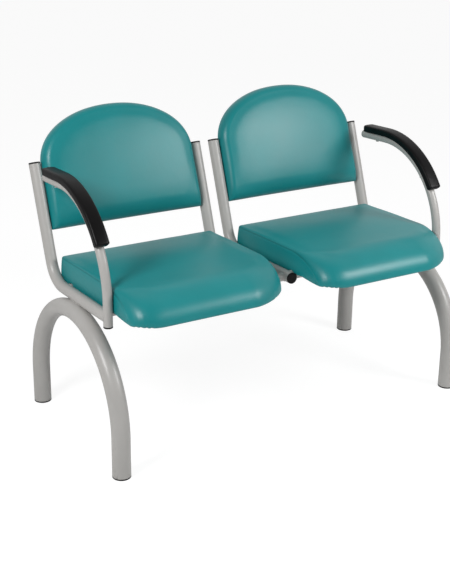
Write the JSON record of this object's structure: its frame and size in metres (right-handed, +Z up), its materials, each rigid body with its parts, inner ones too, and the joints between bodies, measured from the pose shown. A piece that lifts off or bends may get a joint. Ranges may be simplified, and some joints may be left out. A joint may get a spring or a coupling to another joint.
{
  "type": "beam seating",
  "caption": "Two-seat waiting-room seating on a bent steel tube frame: arch legs, padded seats and arched backs, and a padded arm at each end.",
  "frame": {"origin": "on the floor, under the middle of the whole seating's box", "axes": "+X along the row to the right as a person facing the seating sees it, -Y towards the front, +Z up"},
  "size_m": [1.1584, 0.6472, 0.8553],
  "materials": {
    "frame_paint": "satin powder coat, warm light grey",
    "teal_vinyl": "satin upholstery vinyl with a fine grain",
    "arm_pad_black": "self-skinned soft polyurethane, satin black",
    "black_plastic": "moulded black polyethylene",
    "plywood": "raw plywood",
    "liner_cloth": "black non-woven cloth",
    "cover_sheet": "thin black board behind the back pads",
    "zinc_steel": "zinc plated"
  },
  "bodies": {
    "root": {"arch_leg_left": "frame_paint", "glide_front_left": "black_plastic", "glide_rear_left": "black_plastic", "arm_left": "frame_paint", "arm_pad_left": "arm_pad_black", "arm_pad_screws_left": "zinc_steel", "side_tube_outer_left": "frame_paint", "top_cap_outer_left": "black_plastic", "side_tube_inner_left": "frame_paint", "top_cap_inner_left": "black_plastic", "rail_cap_left": "black_plastic", "post_cap_left": "black_plastic", "arm_cap_left": "frame_paint", "cross_tube_front_left": "frame_paint", "cross_tube_rear_left": "frame_paint", "seat_board_left": "plywood", "seat_cushion_left": "teal_vinyl", "seat_liner_left": "liner_cloth", "seat_tabs_left": "frame_paint", "seat_screws_left": "zinc_steel", "seat_tee_nuts_left": "zinc_steel", "back_board_left": "plywood", "back_cushion_left": "teal_vinyl", "back_cover_left": "cover_sheet", "back_lugs_left": "frame_paint", "back_screws_left": "zinc_steel", "back_tee_nuts_left": "zinc_steel", "arch_leg_right": "frame_paint", "glide_front_right": "black_plastic", "glide_rear_right": "black_plastic", "arm_right": "frame_paint", "arm_pad_right": "arm_pad_black", "arm_pad_screws_right": "zinc_steel", "side_tube_outer_right": "frame_paint", "top_cap_outer_right": "black_plastic", "side_tube_inner_right": "frame_paint", "top_cap_inner_right": "black_plastic", "rail_cap_right": "black_plastic", "post_cap_right": "black_plastic", "arm_cap_right": "frame_paint", "cross_tube_front_right": "frame_paint", "cross_tube_rear_right": "frame_paint", "seat_board_right": "plywood", "seat_cushion_right": "teal_vinyl", "seat_liner_right": "liner_cloth", "seat_tabs_right": "frame_paint", "seat_screws_right": "zinc_steel", "seat_tee_nuts_right": "zinc_steel", "back_board_right": "plywood", "back_cushion_right": "teal_vinyl", "back_cover_right": "cover_sheet", "back_lugs_right": "frame_paint", "back_screws_right": "zinc_steel", "back_tee_nuts_right": "zinc_steel", "cross_tube_front_link": "frame_paint", "cross_tube_rear_link": "frame_paint"}
  },
  "joints": []
}
